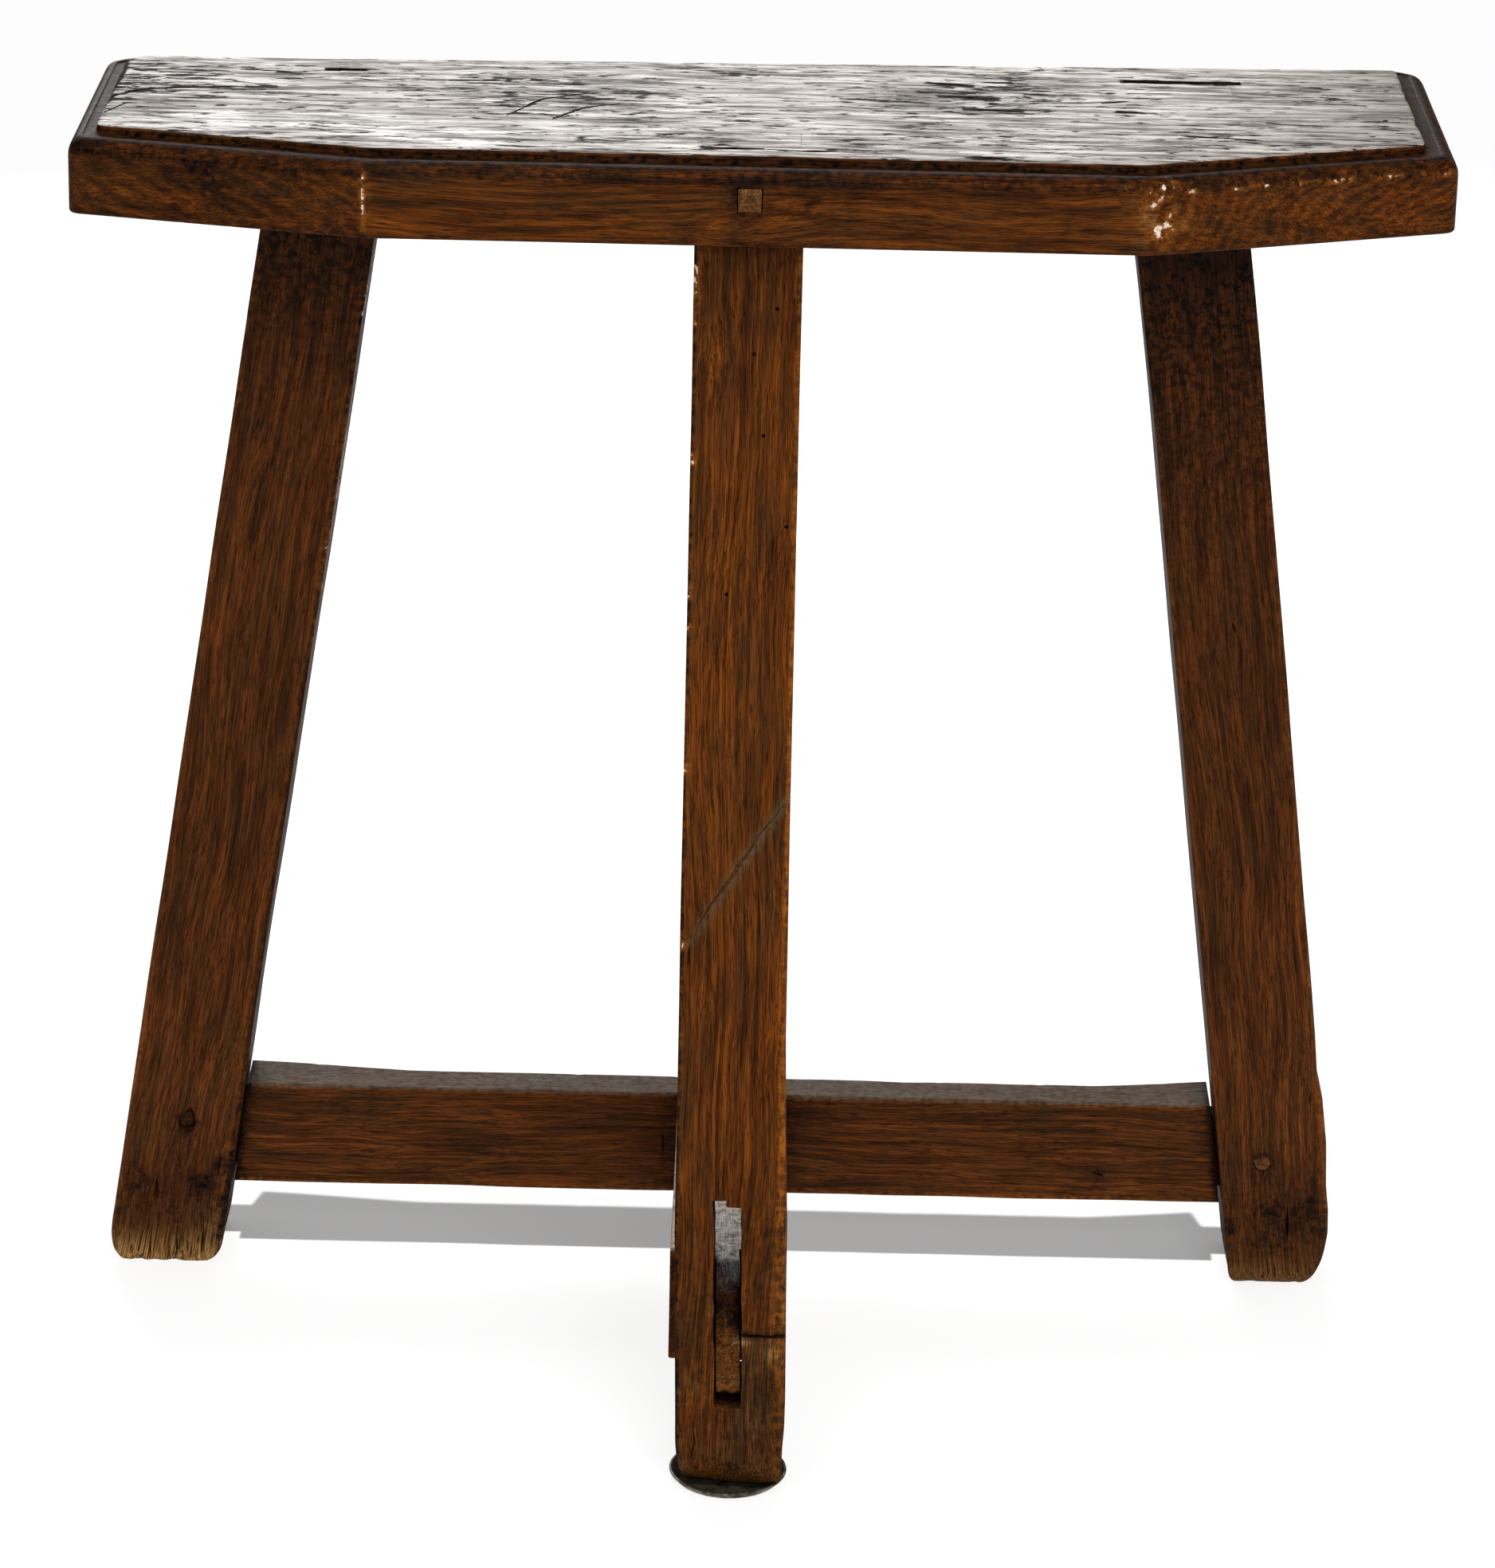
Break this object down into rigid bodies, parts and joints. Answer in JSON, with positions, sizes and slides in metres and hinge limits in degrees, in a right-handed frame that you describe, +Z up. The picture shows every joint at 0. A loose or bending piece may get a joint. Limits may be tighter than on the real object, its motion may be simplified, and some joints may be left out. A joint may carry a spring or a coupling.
{
  "type": "work stool",
  "caption": "Three-legged joined work stool: a long plank seat with clipped front corners and a moulded edge, splayed square legs, and low rails that meet in a T.",
  "frame": {"origin": "on the floor, under the middle of the stool's overall box", "axes": "+X to the right along the seat, +Y from the front leg to the rear legs, +Z up"},
  "size_m": [0.67, 0.3168, 0.658],
  "materials": {
    "waxed_oak_seat": "old dark oak, waxed and worn to a sheen",
    "waxed_oak_legs": "old dark oak, waxed",
    "waxed_oak_rails": "old dark oak, waxed",
    "oak_pegs": "riven oak, dark",
    "patched_oak": "old dark oak of the repair, rough",
    "pressed_steel": "pressed steel, dull and tarnished",
    "nail_iron": "dark iron"
  },
  "bodies": {
    "root": {"seat_plank": "waxed_oak_seat", "front_leg": "waxed_oak_legs", "foot_repair_block": "patched_oak", "left_rear_leg": "waxed_oak_legs", "right_rear_leg": "waxed_oak_legs", "rear_stretcher": "waxed_oak_rails", "medial_stretcher": "waxed_oak_rails", "front_tenon_peg": "oak_pegs", "left_rear_tenon_peg": "oak_pegs", "right_rear_tenon_peg": "oak_pegs", "left_stretcher_peg": "oak_pegs", "right_stretcher_peg": "oak_pegs", "medial_stretcher_peg": "oak_pegs", "foot_dish": "pressed_steel", "foot_dish_nails": "nail_iron"}
  },
  "joints": []
}
